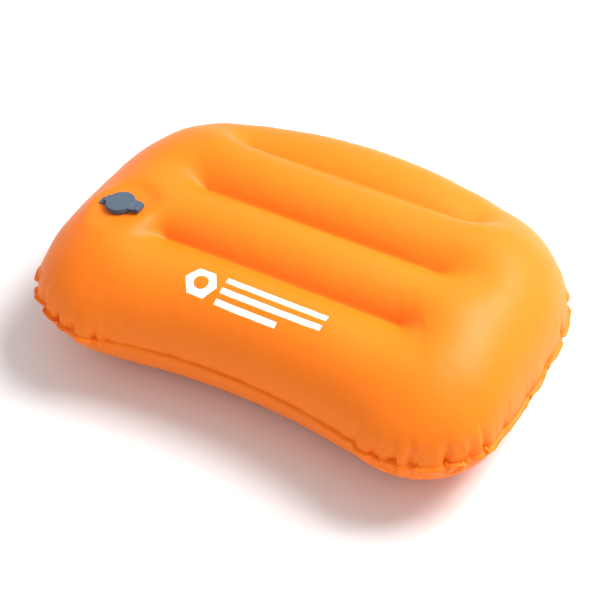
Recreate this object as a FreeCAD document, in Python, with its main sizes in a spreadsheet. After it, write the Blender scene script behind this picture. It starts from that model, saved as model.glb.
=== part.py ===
import FreeCAD, Part

"""An inflatable camp pillow: two welded fabric panels over three internal baffles, with a flat
two-stage valve on the left shoulder. Millimetres, +Z up, origin on the floor below the middle."""

import math
import os
import re

import Sketcher
from FreeCAD import Placement, Rotation, Vector

# Driving dimensions: alias, value in millimetres or degrees, what it is.
DIMENSIONS = [
    ("half_width", 225.0, "seam edge at the widest point, from the middle plane"),
    ("back_reach", 159.5, "seam edge behind the origin, at the middle of the back"),
    ("front_reach", 141.0, "seam edge in front of the origin, at the middle of the neck hollow"),
    ("front_arc", 478.0, "radius of the hollow neck edge"),
    ("side_arc", 650.0, "radius of each side"),
    ("side_mid", 19.0, "how far the side arcs' centres lie in front of the origin"),
    ("back_arc", 470.0, "radius of the back edge"),
    ("front_corner", 77.0, "radius of each front corner"),
    ("back_corner", 128.0, "radius of each back corner"),
    ("seam_height", 62.5, "height of the welded seam above the floor"),
    ("crown_height", 131.5, "height of the crown above the floor"),
    ("crown_arc", 1500.0, "radius of the crown from side to side"),
    ("margin", 3.0, "welded margin that stands out round the seam"),
    ("skin", 0.6, "thickness of the coated fabric"),
    ("crown_round", 56.0, "rounding of the top panel above the seam"),
    ("base_round", 50.0, "rounding of the bottom panel below the seam"),
    ("baffle_pitch", 71.0, "distance from baffle to baffle"),
    ("baffle_shift", 8.0, "middle baffle behind the origin"),
    ("weld_half", 111.0, "half length of a baffle's weld, to the centre of its round end"),
    ("weld_width", 4.0, "width of a baffle's weld"),
    ("top_weld", 108.4, "top weld of each baffle above the floor"),
    ("under_weld", 13.8, "bottom weld of each baffle above the floor"),
    ("flank_angle", 55.0, "slope of a channel's flank from the vertical"),
    ("film", 0.5, "thickness of the baffle film"),
    ("valve_in", 158.0, "valve centre to the left of the middle plane"),
    ("valve_front", 57.4, "valve centre in front of the origin"),
    ("valve_height", 122.6, "fabric at the valve centre above the floor"),
    ("valve_tilt", 6.0, "the valve leans outwards"),
    ("valve_turn", 0.0, "the valve's tabs point inwards and this much to the back"),
    ("land_radius", 24.0, "flat seat of the valve in the fabric"),
    ("land_depth", 22.0, "depth and height of the space shaped for that seat"),
    ("flange_radius", 23.0, "valve flange welded under the fabric"),
    ("flange_thick", 1.2, "thickness of that flange"),
    ("collar_radius", 12.3, "outside of the valve collar"),
    ("throat_radius", 10.0, "bore of the valve collar"),
    ("collar_top", 2.0, "collar above the fabric"),
    ("collar_drop", 5.0, "collar below the fabric"),
    ("disc_radius", 13.3, "rim of the plug"),
    ("plug_seat", 2.05, "underside of the plug's rim above the fabric"),
    ("plug_top", 3.7, "top of the plug's rim above the fabric"),
    ("plug_radius", 9.9, "plug skirt below its rim"),
    ("plug_end_radius", 9.0, "plug skirt at its lower end"),
    ("plug_drop", 4.0, "plug skirt below the fabric"),
    ("port_radius", 6.2, "inflation port in the plug"),
    ("socket_radius", 8.2, "socket in the skirt for the check valve's seat"),
    ("socket_top", 0.5, "top of that socket above the fabric"),
    ("chamber_radius", 6.9, "space for the check disc inside its seat"),
    ("grille_top", 0.4, "top of the seat's perforated floor above the fabric"),
    ("grille_drop", 0.8, "underside of that floor below the fabric"),
    ("window_radius", 1.5, "each air hole of the perforated floor"),
    ("window_ring", 4.3, "centres of the air holes from the valve axis"),
    ("window_count", 6, "air holes"),
    ("stem_radius", 1.2, "stem of the check disc"),
    ("stem_bore", 1.25, "hole for the stem in the perforated floor"),
    ("check_radius", 6.4, "check disc"),
    ("check_gap", 0.05, "gap between the closed check disc and the perforated floor"),
    ("check_thick", 0.55, "thickness of the check disc"),
    ("button_radius", 1.9, "button on the stem"),
    ("button_low", 2.7, "underside of the button above the fabric"),
    ("button_high", 3.4, "top of the button above the fabric"),
    ("cap_seat", 4.1, "underside of the cap above the fabric"),
    ("cap_top", 5.5, "top of the cap above the fabric"),
    ("cap_radius", 12.9, "rim of the cap"),
    ("stopper_radius", 5.95, "cap stopper below the cap"),
    ("stopper_end", 5.6, "cap stopper at its lower end"),
    ("stopper_low", 1.3, "lower end of the stopper above the fabric"),
    ("hollow_radius", 4.6, "hollow in the stopper"),
    ("hollow_top", 4.6, "top of that hollow above the fabric"),
    ("rim_round", 0.45, "rounding of the cap's and the plug's rims"),
    ("tab_reach", 21.4, "finger tabs' ends from the valve axis"),
    ("tab_half", 5.2, "half width of the finger tabs' ends"),
    ("tab_flare", 1.6, "how much wider the tabs are on each side where they meet the rims"),
    ("tab_thick", 1.1, "thickness of the finger tabs"),
    ("tab_round", 1.6, "rounding of the finger tabs' corners"),
    ("lip_width", 1.8, "raised lip along the upper tab's end"),
    ("lip_rise", 0.7, "height of that lip above the upper tab"),
    ("strap_half", 4.0, "half width of the hinge straps"),
    ("strap_thick", 0.9, "thickness of the hinge straps"),
    ("knuckle", 0.45, "radius of a strap's rounded end on its hinge line"),
    ("hinge_gap", 0.15, "gap between a rounded strap end and the piece that holds it"),
    ("plug_hinge_out", 15.0, "plug's hinge line from the valve axis"),
    ("plug_hinge_up", 2.6, "plug's hinge line above the fabric"),
    ("cap_hinge_out", 14.0, "cap's hinge line from the valve axis"),
    ("cap_hinge_up", 4.75, "cap's hinge line above the fabric"),
    ("post_below", 0.15, "top of the cap's hinge post below its hinge line"),
    ("bar_below", 0.9, "top of the plug's hinge bar below its hinge line"),
    ("post_thick", 0.9, "thickness of the post that carries the cap's hinge"),
    ("lug_reach", 20.9, "outer end of the anchor lug from the valve axis"),
    ("lug_half", 4.6, "half width of the anchor lug"),
    ("lug_top", 1.2, "top of the anchor lug above the fabric"),
    ("lug_round", 1.8, "rounding of the lug's outer corners"),
    ("ramp_thick", 1.2, "thickness of the raised bar that carries the plug's hinge"),
    ("peg_out", 18.3, "anchor peg from the valve axis"),
    ("eye_radius", 1.4, "round eye about the anchor peg"),
    ("eye_depth", 0.7, "depth of that eye"),
    ("peg_radius", 0.7, "anchor peg"),
]
ALIASES = {alias for alias, _, _ in DIMENSIONS}
BAFFLES = {"baffle_front": -1, "baffle_middle": 0, "baffle_back": 1}
OVERLAP = 1.0  # how far added material runs into what it joins
SURPLUS = 20.0  # how far a cutting shape runs past what it cuts

doc = FreeCAD.newDocument("camp_pillow")
sheet = doc.addObject("Spreadsheet::Sheet", "Dims")
for row, (alias, number, meaning) in enumerate(DIMENSIONS, start=1):
    sheet.set(f"A{row}", alias)
    sheet.set(f"B{row}", str(number))
    sheet.set(f"C{row}", meaning)
    sheet.setAlias(f"B{row}", alias)
doc.recompute()


def from_sheet(expression):
    """The expression with the sheet's name before each of its aliases."""

    def qualify(word):
        return f"Dims.{word[0]}" if word[0] in ALIASES else word[0]

    return re.sub(r"[a-z_]+", qualify, str(expression))


def value(expression):
    """The number that an expression in the sheet's aliases comes to."""
    return float(sheet.evalExpression(str(expression)))


# ---- helpers for bodies, sketches and features --------------------------------------------------


def new_body(name):
    """A body whose label is the piece's name."""
    body = doc.addObject("PartDesign::Body", name)
    body.Label = name
    return body


def new_sketch(body, name, lift="0", plane="XY_Plane", place=None):
    """A sketch on one of the body's own planes, lifted along +Z or set at a placement."""
    sketch = body.newObject("Sketcher::SketchObject", name)
    sketch.AttachmentSupport = (next(f for f in body.Origin.OriginFeatures if f.Role == plane), "")
    sketch.MapMode = "FlatFace"
    if place is not None:
        sketch.AttachmentOffset = place.multiply(Placement(Vector(0, 0, value(lift)), Rotation()))
    elif lift != "0":
        sketch.setExpression("AttachmentOffset.Base.z", from_sheet(lift))
    return sketch


def constrain(sketch, kind, *where_and_expression):
    """Adds a dimension to a sketch and binds it to the sheet."""
    *where, expression = where_and_expression
    index = sketch.addConstraint(Sketcher.Constraint(kind, *where, value(expression)))
    sketch.setExpression(f"Constraints[{index}]", from_sheet(expression))


def polygon(sketch, corners):
    """A closed outline of straight lines; each corner is a pair of expressions."""
    points = [Vector(value(x), value(y), 0) for x, y in corners]
    for start, end in zip(points, points[1:] + points[:1]):
        sketch.addGeometry(Part.LineSegment(start, end))
    for line, (x, y) in enumerate(corners):
        previous = (line - 1) % len(corners)
        sketch.addConstraint(Sketcher.Constraint("Coincident", previous, 2, line, 1))
        constrain(sketch, "DistanceX", -1, 1, line, 1, x)
        constrain(sketch, "DistanceY", -1, 1, line, 1, y)


def circle(sketch, x, y, radius):
    """A circle at a pair of expressions."""
    centre = Vector(value(x), value(y), 0)
    index = sketch.addGeometry(Part.Circle(centre, Vector(0, 0, 1), value(radius)))
    constrain(sketch, "DistanceX", -1, 1, index, 3, x)
    constrain(sketch, "DistanceY", -1, 1, index, 3, y)
    constrain(sketch, "Radius", index, radius)


def extrude(body, kind, name, sketch, length, reverse=False, both_ways=False, taper=None):
    """A Pad or a Pocket of a sketch, checked to have changed the body's volume."""
    before = body.Shape.Volume if body.Tip and not body.Shape.isNull() else 0.0
    feature = body.newObject(f"PartDesign::{kind}", name)
    feature.Profile = sketch
    feature.Reversed = reverse
    feature.Midplane = both_ways
    feature.setExpression("Length", from_sheet(length))
    if taper is not None:
        feature.setExpression("TaperAngle", from_sheet(taper))
    doc.recompute()
    change = body.Shape.Volume - before
    if (change > 0) != (kind == "Pad") or abs(change) < 0.01:
        raise RuntimeError(f"{body.Label}.{name} changed the volume by {change:.3f}")
    return feature


def revolve(body, name, corners):
    """A solid of revolution about the body's Z axis; each corner is radius and height."""
    sketch = new_sketch(body, f"{name}_profile", plane="XZ_Plane")
    polygon(sketch, corners)
    feature = body.newObject("PartDesign::Revolution", name)
    feature.Profile = sketch
    feature.ReferenceAxis = (sketch, ["V_Axis"])
    feature.Angle = 360
    doc.recompute()
    return feature


def round_edges(body, name, radius, wanted):
    """Fillets the edges of the body's last feature that wanted accepts."""
    base = body.Tip
    names = [f"Edge{i}" for i, edge in enumerate(base.Shape.Edges, start=1) if wanted(edge)]
    fillet = body.newObject("PartDesign::Fillet", name)
    fillet.Base = (base, names)
    fillet.setExpression("Radius", from_sheet(radius))
    doc.recompute()


def edge_at_height(height):
    """Accepts edges that lie wholly at a height."""
    return lambda edge: all(abs(v.Z - height) < 1e-4 for v in edge.Vertexes)


# ---- the pillow's outline -----------------------------------------------------------------------


def crossing(first, first_reach, second, second_reach):
    """The point at those distances from two centres that lies furthest to the right."""
    gap = (second - first).Length
    along = (first_reach**2 - second_reach**2 + gap**2) / (2 * gap)
    across = math.sqrt(first_reach**2 - along**2)
    unit = (second - first) / gap
    normal = Vector(-unit.y, unit.x, 0)
    points = [first + unit * along + normal * across * turn for turn in (1, -1)]
    return max(points, key=lambda point: point.x)


def arc_between(centre, start, end):
    """The arc about centre that runs counterclockwise from start to end."""
    first = math.atan2(start.y - centre.y, start.x - centre.x)
    last = math.atan2(end.y - centre.y, end.x - centre.x)
    ring = Part.Circle(centre, Vector(0, 0, 1), (start - centre).Length)
    return Part.ArcOfCircle(ring, first, last)


def outline_sketch(body, name, inset, lift):
    """The outline moved inwards: eight tangent arcs, the same on both sides of the middle plane.

    A hollow arc in front and full arcs at the sides and the back are joined by four corner arcs.
    """
    front = Vector(0, value("-front_reach - front_arc"), 0)
    back = Vector(0, value("back_reach - back_arc"), 0)
    side = Vector(value("half_width - side_arc"), value("-side_mid"), 0)
    near = crossing(
        front,
        value("front_arc + front_corner"),
        side,
        value("side_arc - front_corner"),
    )
    far = crossing(
        side,
        value("side_arc - back_corner"),
        back,
        value("back_arc - back_corner"),
    )
    joints = [
        front + (near - front).normalize() * value(f"front_arc + {inset}"),
        side + (near - side).normalize() * value(f"side_arc - ({inset})"),
        side + (far - side).normalize() * value(f"side_arc - ({inset})"),
        back + (far - back).normalize() * value(f"back_arc - ({inset})"),
    ]
    joints += [Vector(-point.x, point.y, 0) for point in reversed(joints)]
    right = [near, side, far]
    left = [Vector(-centre.x, centre.y, 0) for centre in reversed(right)]
    sketch = new_sketch(body, name, lift)
    for centre, start, end in zip(right + [back] + left, joints, joints[1:]):
        sketch.addGeometry(arc_between(centre, start, end))
    sketch.addGeometry(arc_between(front, joints[0], joints[-1]))
    for arc in range(6):
        sketch.addConstraint(Sketcher.Constraint("Tangent", arc, 2, arc + 1, 1))
    sketch.addConstraint(Sketcher.Constraint("Tangent", 6, 2, 7, 2))
    sketch.addConstraint(Sketcher.Constraint("Tangent", 7, 1, 0, 1))
    full_arcs = ["front_corner", "side_arc", "back_corner", "back_arc"]
    full_arcs += ["back_corner", "side_arc", "front_corner"]
    for arc, radius in enumerate(full_arcs):
        constrain(sketch, "Radius", arc, f"{radius} - ({inset})")
    constrain(sketch, "Radius", 7, f"front_arc + {inset}")
    for arc, height in ((3, "back_reach - back_arc"), (7, "-front_reach - front_arc")):
        sketch.addConstraint(Sketcher.Constraint("PointOnObject", arc, 3, -2))
        constrain(sketch, "DistanceY", -1, 1, arc, 3, height)
    for arc, offset in ((1, "half_width - side_arc"), (5, "side_arc - half_width")):
        constrain(sketch, "DistanceX", -1, 1, arc, 3, offset)
        constrain(sketch, "DistanceY", -1, 1, arc, 3, "-side_mid")
    return sketch


def crown_sketch(body, name, drop):
    """The region above the crown's long arc, in the plane y = 0."""
    sketch = new_sketch(body, name, plane="XZ_Plane")
    radius = value(f"crown_arc - {drop}")
    centre = Vector(0, value("crown_height - crown_arc"), 0)
    reach = value("half_width") + SURPLUS
    edge = centre.y + math.sqrt(radius**2 - reach**2)
    roof = value("crown_height") + SURPLUS
    right, left = Vector(reach, edge, 0), Vector(-reach, edge, 0)
    top_right, top_left = Vector(reach, roof, 0), Vector(-reach, roof, 0)
    sketch.addGeometry(arc_between(centre, right, left))
    for start, end in ((left, top_left), (top_left, top_right), (top_right, right)):
        sketch.addGeometry(Part.LineSegment(start, end))
    for first, first_end, second, second_end in ((0, 2, 1, 1), (1, 2, 2, 1), (2, 2, 3, 1), (3, 2, 0, 1)):
        sketch.addConstraint(
            Sketcher.Constraint("Coincident", first, first_end, second, second_end)
        )
    sketch.addConstraint(Sketcher.Constraint("Vertical", 1))
    sketch.addConstraint(Sketcher.Constraint("Vertical", 3))
    sketch.addConstraint(Sketcher.Constraint("Horizontal", 2))
    sketch.addConstraint(Sketcher.Constraint("PointOnObject", 0, 3, -2))
    constrain(sketch, "Radius", 0, f"crown_arc - {drop}")
    constrain(sketch, "DistanceY", -1, 1, 0, 3, "crown_height - crown_arc")
    constrain(sketch, "DistanceX", -1, 1, 2, 1, f"-half_width - {SURPLUS}")
    constrain(sketch, "DistanceX", -1, 1, 2, 2, f"half_width + {SURPLUS}")
    constrain(sketch, "DistanceY", -1, 1, 2, 1, f"crown_height + {SURPLUS}")
    return sketch


def slot_sketch(body, name, middle, half_width, lift):
    """A long slot with round ends, as a baffle's weld; middle is its distance behind the origin."""
    sketch = new_sketch(body, name, lift)
    half, radius, y = value("weld_half"), value(half_width), value(middle)
    ends = [Vector(half, y, 0), Vector(-half, y, 0)]
    corners = [Vector(x, y + dy, 0) for x, dy in ((half, -radius), (half, radius), (-half, radius), (-half, -radius))]
    sketch.addGeometry(arc_between(ends[0], corners[0], corners[1]))
    sketch.addGeometry(Part.LineSegment(corners[1], corners[2]))
    sketch.addGeometry(arc_between(ends[1], corners[2], corners[3]))
    sketch.addGeometry(Part.LineSegment(corners[3], corners[0]))
    for first, second in ((0, 1), (1, 2), (2, 3), (3, 0)):
        sketch.addConstraint(Sketcher.Constraint("Tangent", first, 2, second, 1))
    constrain(sketch, "Radius", 0, half_width)
    for arc, x in ((0, "weld_half"), (2, "-weld_half")):
        constrain(sketch, "DistanceX", -1, 1, arc, 3, x)
        constrain(sketch, "DistanceY", -1, 1, arc, 3, middle)
    return sketch


# ---- the two welded panels ----------------------------------------------------------------------

VALVE_FRAME = Placement(
    Vector(value("-valve_in"), value("-valve_front"), value("valve_height")),
    Rotation(value("valve_turn"), value("-valve_tilt"), 0),
)


def baffle_place(step):
    """How far a baffle lies behind the origin."""
    return f"baffle_shift + ({step}) * baffle_pitch"


def channels(body, deeper, upwards):
    """Cuts the three weld channels, narrow at the weld and wide at the open side."""
    weld = f"top_weld - {deeper}" if upwards else f"under_weld + {deeper}"
    widening = f"{deeper} * tan(45deg - flank_angle * 0.5deg)"
    for name, step in BAFFLES.items():
        sketch = slot_sketch(
            body,
            f"{body.Label}_{name}_weld",
            baffle_place(step),
            f"weld_width / 2 + {widening}",
            weld,
        )
        extrude(
            body,
            "Pocket",
            f"{body.Label}_{name}_channel",
            sketch,
            SURPLUS * 2,
            reverse=upwards,
            taper="flank_angle",
        )


def valve_land(body, deeper):
    """Levels a round seat for the valve, square to the valve's axis."""
    place = VALVE_FRAME.multiply(Placement(Vector(0, 0, -value(deeper)), Rotation()))
    fill = new_sketch(body, f"{body.Label}_land_fill", place=place)
    circle(fill, "0", "0", f"land_radius - {deeper}")
    extrude(body, "Pad", f"{body.Label}_land", fill, "land_depth", reverse=True)
    clear = new_sketch(body, f"{body.Label}_land_clear", place=place)
    circle(clear, "0", "0", f"land_radius + {deeper}")
    extrude(body, "Pocket", f"{body.Label}_land_cut", clear, "land_depth", reverse=True)


def top_form(name, deeper):
    """The space under the top panel's outer face, moved inwards by deeper."""
    body = new_body(name)
    outline = outline_sketch(body, f"{name}_outline", f"margin + {deeper}", "seam_height")
    extrude(body, "Pad", f"{name}_pad", outline, "crown_height - seam_height")
    roof = crown_sketch(body, f"{name}_roof", deeper)
    extrude(body, "Pocket", f"{name}_crown", roof, f"{SURPLUS} * 40", both_ways=True)
    low = value("seam_height") + OVERLAP
    round_edges(
        body,
        f"{name}_rounding",
        f"crown_round - {deeper}",
        lambda edge: all(v.Z > low for v in edge.Vertexes),
    )
    channels(body, deeper, upwards=True)
    valve_land(body, deeper)
    return body


def bottom_form(name, deeper):
    """The space above the bottom panel's outer face, moved inwards by deeper."""
    body = new_body(name)
    outline = outline_sketch(body, f"{name}_outline", f"margin + {deeper}", deeper)
    extrude(body, "Pad", f"{name}_pad", outline, f"seam_height - {deeper}")
    round_edges(body, f"{name}_rounding", f"base_round - {deeper}", edge_at_height(value(deeper)))
    channels(body, deeper, upwards=False)
    return body


def make_panel(name, outside, inside, downwards):
    """A fabric shell between an outside and an inside form, with its half of the welded margin."""
    strip = outline_sketch(outside, f"{name}_margin_outline", "0", "seam_height")
    extrude(outside, "Pad", f"{name}_margin", strip, "skin", reverse=downwards)
    panel = doc.addObject("Part::Cut", name)
    panel.Base = outside
    panel.Tool = inside
    panel.Label = name
    doc.recompute()
    return panel


def make_top_panel():
    inside = top_form("top_inside", "skin")
    hole = new_sketch(inside, "collar_hole", place=VALVE_FRAME, lift="-skin - " + str(OVERLAP))
    circle(hole, "0", "0", "collar_radius")
    extrude(inside, "Pad", "collar_post", hole, f"2 * skin + {OVERLAP}")
    return make_panel("top_panel", top_form("top_outside", "0"), inside, downwards=False)


def make_bottom_panel():
    inside = bottom_form("bottom_inside", "skin")
    return make_panel("bottom_panel", bottom_form("bottom_outside", "0"), inside, downwards=True)


def make_baffle(name, step):
    """A strip of film folded over at both edges, where it is welded to the two panels."""
    body = new_body(name)
    low, high = "under_weld + skin", "top_weld - skin"
    near = f"{baffle_place(step)} - weld_width / 2"
    far = f"{baffle_place(step)} + weld_width / 2"
    profile = new_sketch(body, f"{name}_profile", plane="YZ_Plane")
    polygon(
        profile,
        [
            (near, low),
            (far, low),
            (far, f"{low} + film"),
            (f"{near} + film", f"{low} + film"),
            (f"{near} + film", f"{high} - film"),
            (far, f"{high} - film"),
            (far, high),
            (near, high),
        ],
    )
    extrude(body, "Pad", f"{name}_film", profile, "2 * weld_half", both_ways=True)
    return body


# ---- the valve, made upright about its own axis and then set in place -----------------------------


def tongue(body, name, start, end, half, bottom, thick, rounding, flare="0"):
    """A flat tongue along the valve's X axis with two rounded outer corners; flare widens its root."""
    sketch = new_sketch(body, f"{name}_outline", bottom)
    root = f"{half} + {flare}"
    polygon(sketch, [(start, f"-({root})"), (end, f"-({half})"), (end, half), (start, root)])
    extrude(body, "Pad", name, sketch, thick)
    tip = value(end)
    round_edges(
        body,
        f"{name}_corners",
        rounding,
        lambda edge: len(edge.Vertexes) == 2
        and all(abs(v.X - tip) < 1e-4 for v in edge.Vertexes)
        and abs(edge.Vertexes[0].Y - edge.Vertexes[1].Y) < 1e-4,
    )


def bar(body, name, x_low, x_high, z_low, z_high, half):
    """A straight bar across the valve's X axis."""
    sketch = new_sketch(body, f"{name}_profile", plane="XZ_Plane")
    polygon(sketch, [(x_low, z_low), (x_high, z_low), (x_high, z_high), (x_low, z_high)])
    extrude(body, "Pad", name, sketch, f"2 * {half}", both_ways=True)


def strap_end(body, name, out, up):
    """The rounded end of a strap, centred on its hinge line."""
    sketch = new_sketch(body, f"{name}_profile", plane="XZ_Plane")
    circle(sketch, f"-{out}", up, "knuckle")
    extrude(body, "Pad", name, sketch, "2 * strap_half", both_ways=True)


def make_valve_base():
    """Flange and collar, with the lug, its eye and peg, and the bar that holds the plug's hinge."""
    body = new_body("valve_base")
    revolve(
        body,
        "collar",
        [
            ("throat_radius", "-collar_drop"),
            ("collar_radius", "-collar_drop"),
            ("collar_radius", "-skin - flange_thick"),
            ("flange_radius", "-skin - flange_thick"),
            ("flange_radius", "-skin"),
            ("collar_radius", "-skin"),
            ("collar_radius", "collar_top"),
            ("throat_radius", "collar_top"),
        ],
    )
    root = f"-collar_radius + {OVERLAP}"
    tongue(body, "lug", root, "-lug_reach", "lug_half", "0", "lug_top", "lug_round")
    bar(
        body,
        "hinge_bar",
        "-plug_hinge_out - knuckle - hinge_gap - ramp_thick",
        "-plug_hinge_out - knuckle - hinge_gap",
        "lug_top / 2",
        "plug_hinge_up - bar_below",
        "strap_half",
    )
    eye = new_sketch(body, "eye_outline", "lug_top")
    circle(eye, "-peg_out", "0", "eye_radius")
    extrude(body, "Pocket", "eye", eye, "eye_depth")
    peg = new_sketch(body, "peg_outline", "lug_top - eye_depth")
    circle(peg, "-peg_out", "0", "peg_radius")
    extrude(body, "Pad", "peg", peg, "eye_depth + 0.3 * eye_depth")
    return body


def make_deflate_plug():
    """Tapered plug with the inflation port, the lower tab, its strap and the cap's hinge post."""
    body = new_body("deflate_plug")
    revolve(
        body,
        "plug",
        [
            ("port_radius", "plug_top"),
            ("disc_radius", "plug_top"),
            ("disc_radius", "plug_seat"),
            ("plug_radius", "plug_seat"),
            ("plug_end_radius", "-plug_drop"),
            ("socket_radius", "-plug_drop"),
            ("socket_radius", "socket_top"),
            ("port_radius", "socket_top"),
        ],
    )
    rim = edge_at_height(value("plug_top"))
    outer = value("port_radius") + OVERLAP
    round_edges(
        body,
        "plug_rim",
        "rim_round",
        lambda edge: rim(edge) and edge.BoundBox.XMax > outer,
    )
    root = f"disc_radius - {OVERLAP}"
    shape = ("tab_half", "plug_seat", "tab_thick", "tab_round", "tab_flare")
    tongue(body, "lower_tab", root, "tab_reach", *shape)
    strap_low = "plug_hinge_up - strap_thick / 2"
    strap_high = "plug_hinge_up + strap_thick / 2"
    bar(body, "plug_strap", "-plug_hinge_out", f"-({root})", strap_low, strap_high, "strap_half")
    strap_end(body, "plug_knuckle", "plug_hinge_out", "plug_hinge_up")
    post = "-cap_hinge_out - knuckle - hinge_gap"
    bar(
        body,
        "cap_post",
        f"{post} - post_thick",
        post,
        "plug_hinge_up",
        "cap_hinge_up - post_below",
        "strap_half",
    )
    return body


def make_check_seat():
    """Ring pushed into the plug, with a floor that has air holes and a hole for the stem."""
    body = new_body("check_seat")
    revolve(
        body,
        "ring",
        [
            ("stem_bore", "-grille_drop"),
            ("chamber_radius", "-grille_drop"),
            ("chamber_radius", "-plug_drop"),
            ("socket_radius", "-plug_drop"),
            ("socket_radius", "grille_top"),
            ("stem_bore", "grille_top"),
        ],
    )
    window = new_sketch(body, "window_outline", "grille_top")
    circle(window, "window_ring", "0", "window_radius")
    cut = extrude(body, "Pocket", "window", window, "grille_top + grille_drop")
    pattern = body.newObject("PartDesign::PolarPattern", "windows")
    pattern.Originals = [cut]
    pattern.Axis = (window, ["N_Axis"])
    pattern.Angle = 360
    pattern.setExpression("Occurrences", from_sheet("window_count"))
    body.Tip = pattern
    doc.recompute()
    return body


def make_check_valve():
    """Soft disc under the perforated floor, on a stem with a button at its upper end."""
    body = new_body("check_valve")
    closed = "-grille_drop - check_gap"
    revolve(
        body,
        "disc",
        [
            ("0", f"{closed} - check_thick"),
            ("check_radius", f"{closed} - check_thick"),
            ("check_radius", closed),
            ("stem_radius", closed),
            ("stem_radius", "button_low"),
            ("button_radius", "button_low"),
            ("button_radius", "button_high"),
            ("0", "button_high"),
        ],
    )
    return body


def make_inflate_cap():
    """Flat cap with a hollow stopper, the upper tab with its lip, and its strap."""
    body = new_body("inflate_cap")
    revolve(
        body,
        "cap",
        [
            ("0", "cap_top"),
            ("cap_radius", "cap_top"),
            ("cap_radius", "cap_seat"),
            ("stopper_radius", "cap_seat"),
            ("stopper_end", "stopper_low"),
            ("hollow_radius", "stopper_low"),
            ("hollow_radius", "hollow_top"),
            ("0", "hollow_top"),
        ],
    )
    round_edges(body, "cap_rim", "rim_round", edge_at_height(value("cap_top")))
    root = f"disc_radius - {OVERLAP}"
    shape = ("tab_half", "cap_seat", "tab_thick", "tab_round", "tab_flare")
    tongue(body, "upper_tab", root, "tab_reach", *shape)
    bar(
        body,
        "lip",
        "tab_reach - tab_round - lip_width",
        "tab_reach - tab_round",
        "cap_seat + tab_thick / 2",
        "cap_seat + tab_thick + lip_rise",
        "tab_half",
    )
    strap_low = "cap_hinge_up - strap_thick / 2"
    strap_high = "cap_hinge_up + strap_thick / 2"
    bar(body, "cap_strap", "-cap_hinge_out", f"-({root})", strap_low, strap_high, "strap_half")
    strap_end(body, "cap_knuckle", "cap_hinge_out", "cap_hinge_up")
    return body


# ---- assembly, checks and files -------------------------------------------------------------------


def make_pieces():
    """Every physical piece of the pillow, in place."""
    pieces = [make_top_panel(), make_bottom_panel()]
    pieces += [make_baffle(name, step) for name, step in BAFFLES.items()]
    valve = [
        make_valve_base(),
        make_deflate_plug(),
        make_check_seat(),
        make_check_valve(),
        make_inflate_cap(),
    ]
    for piece in valve:
        piece.Placement = VALVE_FRAME
    doc.recompute()
    return pieces + valve


def check_document(pieces):
    """Stops if any object failed to recompute or any piece has no valid solid."""
    for thing in doc.Objects:
        if "Invalid" in thing.State or "Error" in thing.State:
            raise RuntimeError(f"{thing.Label} is {thing.State}")
    for piece in pieces:
        shape = piece.Shape
        if shape.isNull() or not shape.isValid() or len(shape.Solids) != 1:
            raise RuntimeError(f"{piece.Label} is not one valid solid")


def write_pieces(pieces):
    """Writes one STEP file for each piece."""
    os.makedirs("parts", exist_ok=True)
    for piece in pieces:
        piece.Shape.exportStep(os.path.join("parts", f"{piece.Label}.step"))
        box = piece.Shape.BoundBox
        print(
            f"{piece.Label:14s} {piece.Shape.Volume / 1000:8.3f} cm3"
            f"  x {box.XMin:8.2f} {box.XMax:8.2f}"
            f"  y {box.YMin:8.2f} {box.YMax:8.2f}"
            f"  z {box.ZMin:7.2f} {box.ZMax:7.2f}"
        )


pieces = make_pieces()
check_document(pieces)
write_pieces(pieces)
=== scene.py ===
"""Inflatable camp pillow: two welded fabric panels blown up by a cloth simulation, on the CAD frame."""

import math

import bmesh
import bpy
import numpy as np
from mathutils import Euler, Matrix, Vector
from mathutils.geometry import delaunay_2d_cdt
from mathutils.kdtree import KDTree


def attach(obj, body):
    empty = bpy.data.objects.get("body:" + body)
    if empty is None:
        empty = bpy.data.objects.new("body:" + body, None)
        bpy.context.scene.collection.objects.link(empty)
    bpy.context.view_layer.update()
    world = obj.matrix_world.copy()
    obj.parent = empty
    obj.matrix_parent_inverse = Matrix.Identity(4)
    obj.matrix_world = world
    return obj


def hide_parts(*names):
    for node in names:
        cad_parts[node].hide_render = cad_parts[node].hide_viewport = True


MM = 0.001  # sizes below are written in millimetres and used in metres

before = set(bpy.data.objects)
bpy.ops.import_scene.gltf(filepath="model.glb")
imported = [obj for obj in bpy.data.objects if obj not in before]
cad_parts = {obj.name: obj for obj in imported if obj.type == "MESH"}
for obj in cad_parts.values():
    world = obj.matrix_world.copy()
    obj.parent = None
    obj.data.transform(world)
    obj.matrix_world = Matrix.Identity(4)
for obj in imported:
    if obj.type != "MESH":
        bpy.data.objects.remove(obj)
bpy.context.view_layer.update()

# ---- the seam's outline, the welds and the valve: the same driving sizes as the CAD model --------
HALF_WIDTH = 225 * MM
BACK_REACH = 159.5 * MM
FRONT_REACH = 141 * MM
FRONT_ARC = 478 * MM
SIDE_ARC = 650 * MM
SIDE_MID = 19 * MM
BACK_ARC = 470 * MM
FRONT_CORNER = 77 * MM
BACK_CORNER = 128 * MM
MARGIN = 3 * MM
SEAM_HEIGHT = 62.5 * MM
WELD_PITCH = 71 * MM
WELD_SHIFT = 8 * MM
WELD_HALF = 113 * MM
TOP_WELD = 109 * MM  # just above the baffles' upper edges
UNDER_WELD = 13 * MM  # just below their lower edges
VALVE_PLACE = Vector((-158, -57.4, 122.6)) * MM
VALVE_TILT = math.radians(6)
COLLAR_HOLE = 11.5 * MM
LAND_FLAT = 24.5 * MM  # the fabric lies flat on the valve's flange out to here
LAND_EDGE = 40 * MM  # and less and less flat out to here
SEAT_REACH = 50 * MM  # the cloth is drawn to the valve's place and level about this far
SEAT_DEPTH = 50 * MM  # down to this far below the valve
LEFT_TAPER = 0.3  # the valve's end is flatter by up to this share

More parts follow.
